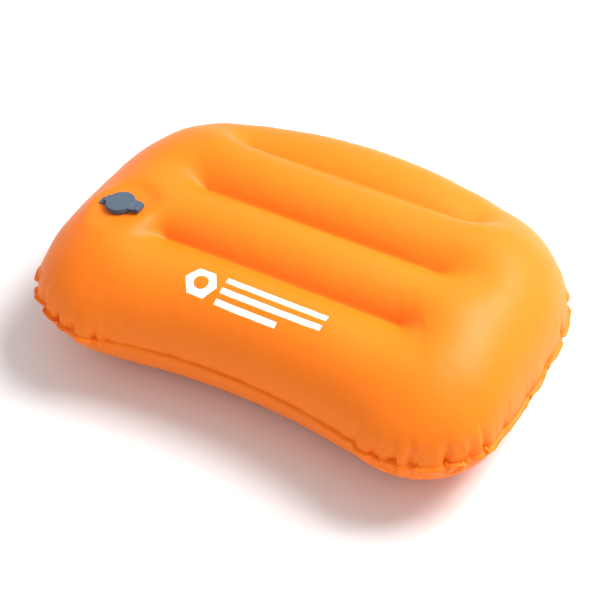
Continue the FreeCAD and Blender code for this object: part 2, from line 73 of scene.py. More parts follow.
# ---- how the flat panels are cut -----------------------------------------------------------------
RIDGE_EASE = 1.13  # cloth is this much longer across the ridges than their spacing
EASED_HALF = 1.5 * WELD_PITCH  # and eased this far from the middle weld
ROLL = 26 * MM  # cloth beyond the seam's final line, which the sides use up as they bulge
ROLL_ENDS = 6 * MM  # more of it at the two ends
ENDS_START = 150 * MM  # which lie further than this from the middle
ENDS_MID = -5 * MM  # it is at its most here, from front to back
ENDS_SPREAD = 60 * MM  # and fades out about this far from there
ROLL_FRONT_CORNERS = -7 * MM  # and less of it at the corners
ROLL_BACK_CORNERS = -5 * MM
FRONT_CORNER_PLACE = (190 * MM, -130 * MM)
BACK_CORNER_PLACE = (185 * MM, 100 * MM)
CORNER_SPREAD = 50 * MM  # which fades out about this far from a corner's place
ROLL_EVEN = 20  # all of it is evened out over this many points of the seam on each side
DRAW_IN = 90 * MM  # the cloth starts drawn in over this width, so that its edge is on the seam
VALVE_CUT = Vector((-157.2, -65.1)) * MM  # the valve's centre on the flat panel

# ---- pleats, where the seam's spare length folds in ----------------------------------------------
PLEAT_TURN = math.radians(15)  # the seam turns this much from pleat to pleat
PLEAT_GAP = 34 * MM  # and they are never further apart than this, except in the hollow
PLEAT_JITTER = 0.16  # share of a gap by which pleats stray
STRAY_TURN = 2.4  # the nth pleat strays by the sine of this times n to STRAY_POWER
STRAY_POWER = 1.3
TURN_EVEN = 12  # the seam's turn is evened out over this many of its points on each side
PLEAT_DEPTH = 5 * MM
PLEAT_HALF = 4 * MM  # half width where it starts
PLEAT_REACH = 20 * MM  # a pleat fades to about a third this far up and down the panels
FOLD_DEPTH = 2.6 * MM  # of the sharp fold in the middle of a pleat
FOLD_LENGTH = 17 * MM  # it fades to about a third this far from the seam
FOLD_DEPTHS = (0.6, 1.2)  # folds differ in depth between these shares
FOLD_LENGTHS = (0.6, 1.4)  # and in length between these
FOLD_SLOPE = 5 * MM  # the width of its gentle side
FOLD_STEP = 1.1 * MM  # and of its steep side
UNDER_FOLDS = 2.4  # folds go this many times deeper and further into the bottom panel
FOLD_LEAN = 0.25  # how far folds lean along the seam, per length
FOLD_BAND = 34 * MM  # the mesh is finer, and folds end, this far from the seam

# ---- simulation ----------------------------------------------------------------------------------
SPACING = 4.5 * MM  # between the cloth's points
HOLE_POINTS = round(2 * math.pi * COLLAR_HOLE / SPACING)  # around the valve's hole
TRIANGLE_HEIGHT = math.sqrt(0.75)  # of an even triangle, as a share of its side
EDGE_CLEAR = 0.62 * SPACING  # the rows of points keep this far from the edge
HOLE_CLEAR = 0.6 * SPACING  # and from the valve's hole
START_LEVEL = SEAM_HEIGHT - 1 * MM
START_TOP = (66 * MM, 50 * MM)  # the first dome's rise, and how far in from the seam it is reached
START_UNDER = (-60 * MM, 46 * MM)
START_VALLEY = 14 * MM  # half width of its valley at a weld
STEPS = 900
TIME_STEP = 0.001
PRESSURE = 30.0
CALM = 0.985  # share of its speed that a point keeps at each step
CRUSH = 0.6  # how firmly a thread resists being shortened
STIFF = 0.05  # how firmly the cloth resists folding
EDGE_STIFF = 0.6  # how firmly the welded edge stays straight from pleat to pleat
EDGE_EVEN = 3  # the blown edge is evened out over this many of its points on each side
ERROR_EVEN = 15  # and its distance from the seam's line over this many of the line's points
CORRECT_REACH = 60 * MM  # moving it onto that line draws the cloth along about this far


def unit(vector):
    return vector / np.linalg.norm(vector)


def crossing(first, first_reach, second, second_reach):
    """The point at those distances from two centres that lies furthest to the right."""
    gap = np.linalg.norm(second - first)
    along = (first_reach**2 - second_reach**2 + gap**2) / (2 * gap)
    across = math.sqrt(first_reach**2 - along**2)
    direction = unit(second - first)
    normal = np.array([-direction[1], direction[0]])
    points = [first + direction * along + normal * across * side for side in (1, -1)]
    return max(points, key=lambda point: point[0])


def arc_points(centre, radius, start, end, step):
    """Points about centre from start counterclockwise up to, but not including, end."""
    first = math.atan2(*(start - centre)[::-1])
    last = math.atan2(*(end - centre)[::-1])
    if last < first:
        last += 2 * math.pi
    count = max(2, round(radius * (last - first) / step))
    turn = np.linspace(first, last, count, endpoint=False)
    return centre + radius * np.column_stack([np.cos(turn), np.sin(turn)])


def outline(inset, step):
    """The outline moved inwards, counterclockwise: eight tangent arcs."""
    mirror = np.array([-1, 1])
    front = np.array([0, -FRONT_REACH - FRONT_ARC])
    back = np.array([0, BACK_REACH - BACK_ARC])
    side = np.array([HALF_WIDTH - SIDE_ARC, -SIDE_MID])
    near = crossing(front, FRONT_ARC + FRONT_CORNER, side, SIDE_ARC - FRONT_CORNER)
    far = crossing(side, SIDE_ARC - BACK_CORNER, back, BACK_ARC - BACK_CORNER)
    joints = [
        front + unit(near - front) * (FRONT_ARC + inset),
        side + unit(near - side) * (SIDE_ARC - inset),
        side + unit(far - side) * (SIDE_ARC - inset),
        back + unit(far - back) * (BACK_ARC - inset),
    ]
    right = np.vstack(
        [
            arc_points(near, FRONT_CORNER - inset, joints[0], joints[1], step),
            arc_points(side, SIDE_ARC - inset, joints[1], joints[2], step),
            arc_points(far, BACK_CORNER - inset, joints[2], joints[3], step),
        ]
    )
    rear = arc_points(back, BACK_ARC - inset, joints[3], joints[3] * mirror, step)
    left = np.vstack([joints[3] * mirror, (right[1:] * mirror)[::-1], joints[0] * mirror])
    hollow = arc_points(front, FRONT_ARC + inset, joints[0], joints[0] * mirror, step)
    return np.vstack([right, rear, left, hollow[1:][::-1]])


# ---- closed rows of points and nearest points ----------------------------------------------------


def even(ring, step):
    """A closed row of points divided evenly: the new points, and the old index at each of them."""
    closed = np.vstack([ring, ring[:1]])
    reach = np.r_[0, np.cumsum(np.linalg.norm(np.diff(closed, axis=0), axis=1))]
    at = np.linspace(0, reach[-1], round(reach[-1] / step), endpoint=False)
    place = np.interp(at, reach, np.arange(len(closed)))
    points = [np.interp(at, reach, column) for column in closed.T]
    return np.column_stack(points), place


def smooth(ring, width):
    """The running mean of a closed row, over 2 * width + 1 of its values."""
    longer = np.concatenate([ring[-width:], ring, ring[:width]])
    total = np.cumsum(np.insert(longer, 0, 0, axis=0), axis=0)
    return (total[2 * width + 1 :] - total[: -2 * width - 1]) / (2 * width + 1)


def outward(ring):
    """Unit normals in the plan that point out of a counterclockwise row of points."""
    along = np.roll(ring[:, :2], -1, axis=0) - np.roll(ring[:, :2], 1, axis=0)
    along /= np.linalg.norm(along, axis=1)[:, None]
    return np.column_stack([along[:, 1], -along[:, 0]])


def nearest(ring, points):
    """Each point's nearest index in the ring, in the plan, and its distance."""
    tree = KDTree(len(ring))
    for index, (x, y) in enumerate(ring[:, :2]):
        tree.insert((x, y, 0), index)
    tree.balance()
    found = [tree.find((x, y, 0)) for x, y in points[:, :2]]
    return np.array([index for _, index, _ in found]), np.array([gap for _, _, gap in found])


def inside(ring, points):
    """Which points lie inside a closed row of points."""
    x, y = points[:, 0], points[:, 1]
    result = np.zeros(len(points), bool)
    for (x1, y1), (x2, y2) in zip(ring, np.roll(ring, -1, axis=0)):
        if y1 != y2:
            result ^= ((y1 > y) != (y2 > y)) & (x < (x2 - x1) * (y - y1) / (y2 - y1) + x1)
    return result


def bump(points, x, y, width):
    """1 at the two places (x, y) and (-x, y) in the plan, falling to 0 about them."""
    away = np.hypot(np.abs(points[:, 0]) - x, points[:, 1] - y)
    return np.exp(-((away / width) ** 2))


# ---- the flat panels -----------------------------------------------------------------------------


def plan_to_cut(y):
    """Where cloth that ends up at y lies on the flat panel, measured from the middle weld."""
    away = y - WELD_SHIFT
    eased = np.clip(away, -EASED_HALF, EASED_HALF)
    return away + eased * (RIDGE_EASE - 1)


def cut_to_plan(y):
    """The opposite of plan_to_cut."""
    eased = np.clip(y, -EASED_HALF * RIDGE_EASE, EASED_HALF * RIDGE_EASE)
    return WELD_SHIFT + y + eased * (1 / RIDGE_EASE - 1)


def cut_line(seam):
    """The seam's line grown by the cloth that the bulging sides use up, and by how much."""
    ends = np.exp(-(((seam[:, 1] - ENDS_MID) / ENDS_SPREAD) ** 2))
    roll = ROLL + ROLL_ENDS * (ends * (np.abs(seam[:, 0]) > ENDS_START))
    roll += ROLL_FRONT_CORNERS * bump(seam, *FRONT_CORNER_PLACE, CORNER_SPREAD)
    roll += ROLL_BACK_CORNERS * bump(seam, *BACK_CORNER_PLACE, CORNER_SPREAD)
    roll = smooth(roll, ROLL_EVEN)
    return seam + outward(seam) * roll[:, None], roll


def pleat_marks(seam):
    """The places of the pleats along the seam, as indices, closer together where it turns more."""
    normals = outward(seam)
    after = np.roll(normals, -1, axis=0)
    turn = np.arcsin(normals[:, 0] * after[:, 1] - normals[:, 1] * after[:, 0])
    turn = smooth(turn, TURN_EVEN)
    length = np.linalg.norm(np.roll(seam, -1, axis=0) - seam, axis=1)
    full = np.where(turn > 0, np.maximum(turn / PLEAT_TURN, length / PLEAT_GAP), 0)
    count = np.cumsum(full)
    pleats = np.arange(1, math.floor(count[-1]))
    marks = pleats + PLEAT_JITTER * np.sin(STRAY_TURN * pleats**STRAY_POWER)
    return np.interp(marks, count, np.arange(len(seam)))


def pleat_feet(seam, place):
    """The edge points nearest to the pleats; place is each edge point's place along the seam."""
    half = len(seam) / 2
    marks = pleat_marks(seam)
    return [np.abs((place - mark + half) % len(seam) - half).argmin() for mark in marks]


def lobes(seam, place):
    """For each edge point, the number of its lobe between two pleats, or -1 on a pleat or elsewhere."""
    marks = pleat_marks(seam)
    lobe = np.searchsorted(marks, place)
    lobe[pleat_feet(seam, place)] = -1
    lobe[(place < marks[0]) | (place > marks[-1])] = -1
    return lobe


def cloth_points(edge):
    """Even rows of points within the flat edge; rows lie along the welds, and a ring round the valve.

    Returns the points and which of them are on a weld.
    """
    rows = round(WELD_PITCH * RIDGE_EASE / (SPACING * TRIANGLE_HEIGHT))
    row = WELD_PITCH * RIDGE_EASE / rows
    columns = math.ceil(edge[:, 0].max() / SPACING)
    first = math.ceil(edge[:, 1].min() / row)
    last = math.floor(edge[:, 1].max() / row)
    grid = np.array(
        [
            ((column + 0.5 * (k % 2)) * SPACING, k * row, k % rows == 0 and abs(k) <= rows)
            for k in range(first, last + 1)
            for column in range(-columns, columns + 1)
        ]
    )
    grid = grid[inside(edge, grid)]
    grid = grid[nearest(edge, grid)[1] > EDGE_CLEAR]
    centre = np.array(VALVE_CUT)
    grid = grid[np.linalg.norm(grid[:, :2] - centre, axis=1) > COLLAR_HOLE + HOLE_CLEAR]
    turn = np.linspace(0, 2 * math.pi, HOLE_POINTS, endpoint=False)
    ring = centre + COLLAR_HOLE * np.column_stack([np.cos(turn), np.sin(turn)])
    points = np.vstack([ring, centre, grid[:, :2]])
    weld = (grid[:, 2] > 0) & (np.abs(grid[:, 0]) <= WELD_HALF)
    return points, np.r_[np.zeros(HOLE_POINTS + 1, bool), weld]


def flat_panel(seam):
    """One panel as it is cut.

    Returns its points, the edge's first; its triangles; each edge point's place along the seam; where
    each point starts in the plan, and how far from the seam; and which points are on a weld.
    """
    grown, roll = cut_line(seam)
    cut = np.column_stack([grown[:, 0], plan_to_cut(grown[:, 1])])
    edge, place = even(cut, SPACING)
    cloth, weld = cloth_points(edge)
    flat = np.vstack([edge, cloth])
    count = len(edge)
    ring = [(i, (i + 1) % count) for i in range(count)]
    faces = np.array(delaunay_2d_cdt([Vector(p) for p in flat], ring, [], 1, 1e-9)[2])
    first, second, third = (flat[faces[:, k]] for k in range(3))
    turned = np.cross(second - first, third - first) < 0
    faces[turned] = faces[turned][:, ::-1]

    plan = np.column_stack([flat[:, 0], cut_to_plan(flat[:, 1])])
    index, away = nearest(grown, plan)
    away[:count] = 0
    plan -= outward(seam)[index] * (roll[index] * np.clip(1 - away / DRAW_IN, 0, 1))[:, None]
    away = np.where(away < DRAW_IN, away * (1 - roll[index] / DRAW_IN), away - roll[index])
    return flat, faces, place, plan, away, np.r_[np.zeros(count, bool), weld]


# ---- cloth simulation: two joined panels, threads that hardly stretch, air inside ----------------


def independent(pairs):
    """Splits pairs of points into groups in which no point comes twice."""
    random = np.random.default_rng(1)
    left = np.arange(len(pairs))
    groups = []
    while len(left):
        left = random.permutation(left)
        turn = np.arange(len(left))
        first = np.full(pairs.max() + 1, len(left))
        np.minimum.at(first, pairs[left, 0], turn)
        np.minimum.at(first, pairs[left, 1], turn)
        wins = (first[pairs[left, 0]] == turn) & (first[pairs[left, 1]] == turn)
        groups.append(left[wins])
        left = left[~wins]
    return groups


def threads(faces, edge_count):
    """Pairs of points along the triangles' sides, and across each two triangles that share a side."""
    total = faces.max() + 1
    sides = np.sort(np.vstack([faces[:, [0, 1]], faces[:, [1, 2]], faces[:, [2, 0]]]), axis=1)
    facing = np.r_[faces[:, 2], faces[:, 0], faces[:, 1]]
    key = sides[:, 0] * total + sides[:, 1]
    order = np.argsort(key, kind="stable")
    _, first, times = np.unique(key[order], return_index=True, return_counts=True)
    weave = sides[order[first]]
    folds = (times == 2) & ~(weave < edge_count).all(axis=1)
    across = np.column_stack([facing[order[first[folds]]], facing[order[first[folds] + 1]]])
    return weave, across


def grouped(pairs, flat, free):
    """The pairs in independent groups, with their flat length and each end's share of a move."""
    result = []
    for group in independent(pairs):
        first, second = pairs[group].T
        both = free[first] + free[second]
        loose = both > 0
        first, second, both = first[loose], second[loose], both[loose]
        length = np.linalg.norm(flat[first] - flat[second], axis=1)
        shares = [(free[end] / both)[:, None] for end in (first, second)]
        result.append((first, second, length, *shares))
    return result


def pull(points, groups, stretched, slack):
    """Moves the ends of each pair towards their flat distance, by a share for long and short ones."""
    for first, second, length, first_share, second_share in groups:
        gap = points[first] - points[second]
        now = np.sqrt((gap * gap).sum(axis=1))
        off = (now - length) / np.maximum(now, 1e-9)
        move = (off * np.where(off > 0, stretched, slack))[:, None] * gap
        points[first] -= first_share * move
        points[second] += second_share * move


def stiff_pairs(lobe):
    """Pairs of edge points in one lobe, two to four points apart: the welded edge stays straight."""
    pairs = []
    for gap in (2, 3, 4):
        after = np.roll(lobe, -gap)
        same = np.flatnonzero((lobe == after) & (lobe >= 0))
        pairs.append(np.column_stack([same, (same + gap) % len(lobe)]))
    return np.vstack(pairs)


def inflate(points, faces, flat, pinned, lobe):
    """The points after the air has blown the cloth up; pinned ones stay where they are."""
    free = np.where(pinned, 0.0, 1.0)
    weave, across = threads(faces, len(lobe))
    stiff = grouped(stiff_pairs(lobe), flat, free)
    weave, across = grouped(weave, flat, free), grouped(across, flat, free)
    corners = faces.ravel()
    lift = PRESSURE / (6 * SPACING**2 * TRIANGLE_HEIGHT)
    speed = np.zeros_like(points)
    for _ in range(STEPS):
        first, second, third = (points[faces[:, k]] for k in range(3))
        push = np.repeat(np.cross(second - first, third - first), 3, axis=0)
        force = [np.bincount(corners, push[:, axis], len(points)) for axis in range(3)]
        speed = (speed + np.column_stack(force) * lift * TIME_STEP) * CALM
        speed[pinned] = 0
        before = points
        points = points + speed * TIME_STEP
        pull(points, weave, 1.0, CRUSH)
        pull(points, across, 0.0, STIFF)
        pull(points, stiff, 0.0, EDGE_STIFF)
        points[:, 2] = np.maximum(points[:, 2], 0)
        speed = (points - before) / TIME_STEP
    return points


def start_height(plan, away, rise, radius, weld):
    """A dome over the plan with a smooth valley at each weld, to start the simulation from."""
    height = START_LEVEL + rise * np.sqrt(1 - (1 - np.clip(away / radius, 0, 1)) ** 2)
    along = np.maximum(np.abs(plan[:, 0]) - WELD_HALF, 0)
    gaps = [plan[:, 1] - WELD_SHIFT - step * WELD_PITCH for step in (-1, 0, 1)]
    nearby = np.min([np.hypot(along, gap) for gap in gaps], axis=0)
    return height + (weld - height) * np.exp(-((nearby / START_VALLEY) ** 2))


def pleat_start(seam, plan, away):
    """How far each point starts drawn in at the pleats, so that the cloth folds there."""
    marks = seam[np.round(pleat_marks(seam)).astype(int)]
    index, _ = nearest(seam, plan)
    _, gap = nearest(marks, seam[index])
    depth = PLEAT_DEPTH * np.exp(-((gap / PLEAT_HALF) ** 2)) * np.exp(-away / PLEAT_REACH)
    return outward(seam)[index] * depth[:, None]


def blown_panels(seam):
    """The blown-up pillow.

    Returns the top panel's points, the bottom panel's, their shared triangles, the number of points on
    the seam, which come first, the flat panel's points, and the seam's points with a pleat.
    """
    flat, faces, place, plan, away, weld = flat_panel(seam)
    count = len(place)
    lobe = lobes(seam, place)
    plan = plan - pleat_start(seam, plan, away)
    top = start_height(plan, away, *START_TOP, TOP_WELD)
    under = start_height(plan, away, *START_UNDER, UNDER_WELD)
    points = np.vstack([np.column_stack([plan, top]), np.column_stack([plan, under])[count:]])
    total = len(flat)
    lower = np.r_[np.arange(count), np.arange(total, 2 * total - count)]
    both = np.vstack([faces, lower[faces][:, ::-1]])
    rest = np.vstack([flat, flat[count:]])
    points = inflate(points, both, rest, np.r_[weld, weld[count:]], lobe)
    points = tapered(corrected(points, seam, count))
    return points[:total], points[lower], faces, count, flat, pleat_feet(seam, place)


def tapered(points):
    """Makes the valve's end of the pillow, past the welds, a little flatter than the other end."""
    past = np.clip((-points[:, 0] - WELD_HALF) / (HALF_WIDTH - WELD_HALF), 0, 1)
    share = 1 - LEFT_TAPER * past**2
    result = points.copy()
    result[:, 2] = SEAM_HEIGHT + (points[:, 2] - SEAM_HEIGHT) * share
    return result


def corrected(points, seam, count):
    """Moves the cloth near the seam by the last few millimetres, so that the seam meets its line."""
    ring = smooth(points[:count, :2], EDGE_EVEN)
    normals = outward(seam)
    index, _ = nearest(seam, ring)
    off = ((ring - seam[index]) * normals[index]).sum(axis=1)
    order = np.argsort(index, kind="stable")
    error = np.interp(np.arange(len(seam)), index[order], off[order], period=len(seam))
    error = smooth(error, ERROR_EVEN)
    index, away = nearest(seam, points)
    fade = np.exp(-((away / CORRECT_REACH) ** 2))
    result = points.copy()
    result[:, :2] -= normals[index] * (error[index] * fade)[:, None]
    return result


# ---- the valve's seat in the top panel -----------------------------------------------------------

VALVE = Matrix.Translation(VALVE_PLACE) @ Matrix.Rotation(-VALVE_TILT, 4, "Y")


def moved(matrix, points):
    """Points moved by a 4x4 matrix."""
    matrix = np.array(matrix)
    return points @ matrix[:3, :3].T + matrix[:3, 3]


def fade_out(value, start, end):
    """1 up to start, 0 from end, and a smooth slope between."""
    part = np.clip((value - start) / (end - start), 0, 1)
    return 1 - part * part * (3 - 2 * part)


def seat_valve(top, count):
    """Slides the cloth so that its hole meets the valve, and lays it flat on the valve's flange."""
    ring = slice(count, count + HOLE_POINTS)
    local = moved(VALVE.inverted(), top)
    upper = fade_out(-local[:, 2], SEAT_DEPTH / 2, SEAT_DEPTH)
    middle = local[ring, :2].mean(axis=0)
    away = np.linalg.norm(local[:, :2] - middle, axis=1)
    near = np.exp(-((away / SEAT_REACH) ** 2)) * upper
    local[:, :2] -= middle * near[:, None]

    away = np.linalg.norm(local[:, :2], axis=1)
    local[ring, :2] *= (COLLAR_HOLE / away[ring])[:, None]
    about = (away > COLLAR_HOLE) & (away < LAND_EDGE) & (upper > 0)
    plane = np.column_stack([local[:, :2], np.ones(len(local))])
    level = plane @ np.linalg.lstsq(plane[about], local[about, 2], rcond=None)[0]
    local[:, 2] -= level * np.exp(-((away / SEAT_REACH) ** 2)) * upper
    local[:, 2] *= 1 - fade_out(away, LAND_FLAT, LAND_EDGE) * upper
    return moved(VALVE, local)


# ---- materials -----------------------------------------------------------------------------------


def new_material(name, **settings):
    """A Principled material; settings are socket names with spaces written as underscores."""
    material = bpy.data.materials.new(name)
    material.use_nodes = True
    shader = material.node_tree.nodes["Principled BSDF"]
    for socket, value in settings.items():
        shader.inputs[socket.replace("_", " ").title().replace("Ior", "IOR")].default_value = value
    return material, shader


def add_node(tree, kind, **settings):
    """A node with its properties and unlinked inputs set; an output socket as a value links it."""
    node = tree.nodes.new(kind)
    for name, value in settings.items():
        if name in node.bl_rna.properties:
            setattr(node, name, value)
            continue
        key = int(name[5:]) if name.startswith("input") else name
        if isinstance(value, bpy.types.NodeSocket):
            tree.links.new(value, node.inputs[key])
        else:
            node.inputs[key].default_value = value
    return node


def calculate(tree, operation, *values):
    """The output of a Math node; each value is a number or a socket."""
    inputs = {f"input{index}": value for index, value in enumerate(values)}
    return add_node(tree, "ShaderNodeMath", operation=operation, **inputs).outputs[0]


def mixed(tree, share, first, second):
    """The output of a colour mix: first where share is 0, second where it is 1."""
    values = {"input0": share, "input6": first, "input7": second}
    return add_node(tree, "ShaderNodeMix", data_type="RGBA", **values).outputs[2]


def noise(tree, place, scale, detail):
    """Smooth noise from 0 to 1, with scale patches to the metre."""
    node = add_node(tree, "ShaderNodeTexNoise", Vector=place, Scale=scale, Detail=detail)
    return node.outputs[0]


def raised(tree, strength, distance, height, **surface):
    """The surface's direction with a height from 0 to 1 raised on it; Normal is the one below."""
    values = {"Strength": strength, "Distance": distance, "Height": height, **surface}
    return add_node(tree, "ShaderNodeBump", **values).outputs[0]


def tint(share, colour):
    """A colour, with alpha, times a share."""
    return (*(share * channel for channel in colour), 1)


ORANGE = (0.95, 0.2, 0.008)
PAINTED_LIP_HIGHLIGHT = (0.98, 0.42, 0.12)  # painted highlight: the outer half of the margin's faces, its lip, are paler as if lit from above
INK = (0.93, 0.88, 0.82)
DYE_SHADES = (0.95, 1.03)  # the dye is uneven between these shares
DYE_CLOUDS = 9  # to the metre
SATIN = 0.4  # the fabric's least roughness
SATIN_SPREAD = 0.1  # and how much rougher it gets
FABRIC_SHINE = 0.2  # its specular level
WEAVE = 0.42 * MM  # from one thread to the next but one
THREAD_SHADE = 0.25  # how far the threads move the dye towards its pale shade
THREAD_HEIGHT = 0.05 * MM
THREAD_STRENGTH = 0.2
PUCKERS = 70  # to the metre: shallow unevenness of the blown-up cloth
PUCKER_HEIGHT = 0.25 * MM
PLASTICS = {  # the colour, the roughness and the strength of the grain
    "valve_plastic": ((0.07, 0.105, 0.15), 0.42, 0.25),
    "valve_insert": ((0.35, 0.38, 0.4), 0.5, 0.2),
    "valve_silicone": ((0.6, 0.62, 0.63), 0.35, 0.1),
    "baffle_film": ((0.85, 0.3, 0.07), 0.5, 0.1),
}
MADE_OF = {
    "valve_plastic": ("valve_base", "deflate_plug", "inflate_cap"),
    "valve_insert": ("check_seat",),
    "valve_silicone": ("check_valve",),
    "baffle_film": ("baffle_front", "baffle_middle", "baffle_back"),
}
PLASTIC_SHADES = (0.9, 1.1)
PLASTIC_CLOUDS = 120  # to the metre
PLASTIC_SPREAD = 0.16  # between its roughest and its smoothest places
GRAIN = 2600  # specks to the metre
GRAIN_HEIGHT = 0.05 * MM
SOFT_EDGE = 0.35 * MM  # moulded edges look rounded by this much
PRINT_CUT = Vector((-53, -120)) * MM  # the printed hexagon's centre on the flat cloth
HEXAGON = 13 * MM  # from its centre to its sides
HOLE_SHARE = 0.5  # its round hole, as a share of that
BARS_START = 19 * MM  # the printed bars start here, from the hexagon's centre
BAR_OFFSETS = (11 * MM, 0, -11 * MM)
BAR_LENGTHS = (94 * MM, 94 * MM, 58 * MM)
BAR_HALF = 2.8 * MM


def weave_height(tree, flat_place):
    """Crossed threads on the flat cloth, as a height from 0 to 1."""
    axes = add_node(tree, "ShaderNodeSeparateXYZ", input0=flat_place).outputs
    waves = []
    for axis in ("X", "Y"):
        turns = calculate(tree, "MULTIPLY", axes[axis], 2 * math.pi / WEAVE)
        waves.append(calculate(tree, "SINE", turns))
    product = calculate(tree, "MULTIPLY", *waves)
    return calculate(tree, "MULTIPLY_ADD", product, 0.5, 0.5)


def print_mask(tree, flat_place):
    """A plain printed mark on the flat cloth: a hexagon with a round hole, and three short bars."""
    axes = add_node(tree, "ShaderNodeSeparateXYZ", input0=flat_place).outputs
    across = calculate(tree, "SUBTRACT", axes["X"], PRINT_CUT.x)
    up = calculate(tree, "SUBTRACT", axes["Y"], PRINT_CUT.y)
    side = calculate(tree, "ABSOLUTE", across)
    rise = calculate(tree, "ABSOLUTE", up)
    slant = calculate(tree, "MULTIPLY", side, math.cos(math.radians(30)))
    slant = calculate(tree, "MULTIPLY_ADD", rise, 0.5, slant)
    hexagon = calculate(tree, "LESS_THAN", calculate(tree, "MAXIMUM", slant, rise), HEXAGON)
    squares = [calculate(tree, "MULTIPLY", part, part) for part in (across, up)]
    away = calculate(tree, "SQRT", calculate(tree, "ADD", *squares))
    ring = calculate(tree, "GREATER_THAN", away, HEXAGON * HOLE_SHARE)
    mask = calculate(tree, "MULTIPLY", hexagon, ring)
    for offset, length in zip(BAR_OFFSETS, BAR_LENGTHS):
        near = calculate(tree, "ABSOLUTE", calculate(tree, "SUBTRACT", up, offset))
        middle = calculate(tree, "SUBTRACT", across, BARS_START + length / 2)
        within = calculate(tree, "LESS_THAN", calculate(tree, "ABSOLUTE", middle), length / 2)
        thin = calculate(tree, "LESS_THAN", near, BAR_HALF)
        mask = calculate(tree, "ADD", mask, calculate(tree, "MULTIPLY", within, thin))
    return mask


def fabric_material(name, dye, printed=False):
    """Smooth coated fabric with a very fine weave and a satin surface."""
    material, shader = new_material(name, specular_ior_level=FABRIC_SHINE)
    tree = material.node_tree
    flat_place = add_node(tree, "ShaderNodeUVMap", uv_map="cut").outputs[0]
    place = add_node(tree, "ShaderNodeTexCoord").outputs["Object"]
    clouds = noise(tree, place, DYE_CLOUDS, 3)
    threads = weave_height(tree, flat_place)
    light = calculate(tree, "MULTIPLY_ADD", threads, THREAD_SHADE, clouds)
    colour = mixed(tree, light, *(tint(shade, dye) for shade in DYE_SHADES))
    if printed:
        colour = mixed(tree, print_mask(tree, flat_place), colour, tint(1, INK))
    tree.links.new(colour, shader.inputs["Base Color"])
    rough = calculate(tree, "MULTIPLY_ADD", clouds, SATIN_SPREAD, SATIN)
    tree.links.new(rough, shader.inputs["Roughness"])
    puckers = raised(tree, 1, PUCKER_HEIGHT, noise(tree, place, PUCKERS, 2))
    weave = raised(tree, THREAD_STRENGTH, THREAD_HEIGHT, threads, Normal=puckers)
    tree.links.new(weave, shader.inputs["Normal"])
    return material


def moulded_material(name):
    """Moulded plastic: a fine grain in the surface and slightly uneven colour and gloss."""
    colour, roughness, grain = PLASTICS[name]
    material, shader = new_material(name, roughness=roughness)
    tree = material.node_tree
    place = add_node(tree, "ShaderNodeTexCoord").outputs["Object"]
    clouds = noise(tree, place, PLASTIC_CLOUDS, 4)
    uneven = mixed(tree, clouds, *(tint(shade, colour) for shade in PLASTIC_SHADES))
    tree.links.new(uneven, shader.inputs["Base Color"])
    least = roughness - PLASTIC_SPREAD / 2
    rough = calculate(tree, "MULTIPLY_ADD", clouds, PLASTIC_SPREAD, least)
    tree.links.new(rough, shader.inputs["Roughness"])
    rounded = add_node(tree, "ShaderNodeBevel", Radius=SOFT_EDGE).outputs[0]
    specks = noise(tree, place, GRAIN, 2)
    relief = raised(tree, grain, GRAIN_HEIGHT, specks, Normal=rounded)
    tree.links.new(relief, shader.inputs["Normal"])
    return material


# ---- fabric pieces -------------------------------------------------------------------------------

SKIN = 0.35 * MM  # one layer of the margin
RIPPLE = 2.2 * MM  # the margin's free edge waves up and down up to this far
DROOP = 1.5 * MM  # and hangs down this far
HANG_POWER = 1.5  # both grow with the distance from the seam to this power
STRIP_TUCK = 1.0 * MM  # the margin's strip starts this far inside the seam
STRIP_STEP = 1.8 * MM  # between its points along the seam
STRIP_ROWS = 4
WAVES = ((RIPPLE, 3), (RIPPLE / 2, 8))  # quick and slow ones: height, and points evened on each side
PATH_EVEN = 1  # points on each side over which the strip's path is evened out
OUT_EVEN = 5  # and over which the direction out of it is


def margin_waves(path):
    """How far the margin's free edge waves up and down, for each point of the seam's path."""
    random = np.random.default_rng(5)
    total = 0
    for height, half in WAVES:
        wander = smooth(random.normal(0, 1, len(path)), half)
        total = total + height * wander / np.abs(wander).max()
    return total


def margin_strip(seam_points, side):
    """The margin's upper (side 1) or lower (side -1) layer: its seam, its points and its quads."""
    path, _ = even(seam_points, STRIP_STEP)
    path = smooth(path, PATH_EVEN)
    out = outward(smooth(path, OUT_EVEN))
    wave = margin_waves(path)
    rows = []
    for row in range(STRIP_ROWS + 1):
        share = row / STRIP_ROWS
        reach = (MARGIN + STRIP_TUCK) * share - STRIP_TUCK
        lift = (wave - DROOP) * max(reach / MARGIN, 0) ** HANG_POWER + side * SKIN
        rows.append(np.column_stack([path[:, :2] + out * reach, path[:, 2] + lift]))
    rim = rows[-1].copy()
    rim[:, 2] -= side * SKIN
    rows.append(rim)
    count = len(path)
    quads = []
    for row in range(len(rows) - 1):
        for index in range(count):
            after = (index + 1) % count
            corners = [row * count + index, (row + 1) * count + index]
            corners += [(row + 1) * count + after, row * count + after]
            quads.append(corners if side > 0 else corners[::-1])
    return seam_points, np.vstack(rows), quads


def finer_mesh(mesh, seam):
    """The mesh with its faces divided smoothly, and once more near the seam."""
    piece = bpy.data.objects.new("coarse", mesh)
    bpy.context.scene.collection.objects.link(piece)
    finer = piece.modifiers.new("finer", "SUBSURF")
    finer.levels = finer.render_levels = 1
    graph = bpy.context.evaluated_depsgraph_get()
    divided = bpy.data.meshes.new_from_object(piece.evaluated_get(graph))
    bpy.data.objects.remove(piece)
    shape = bmesh.new()
    shape.from_mesh(divided)
    close = nearest(seam, np.array([vertex.co[:] for vertex in shape.verts]))[1] < FOLD_BAND
    edges = [edge for edge in shape.edges if all(close[vertex.index] for vertex in edge.verts)]
    bmesh.ops.subdivide_edges(shape, edges=edges, cuts=1, use_grid_fill=True)
    shape.to_mesh(divided)
    shape.free()
    return divided


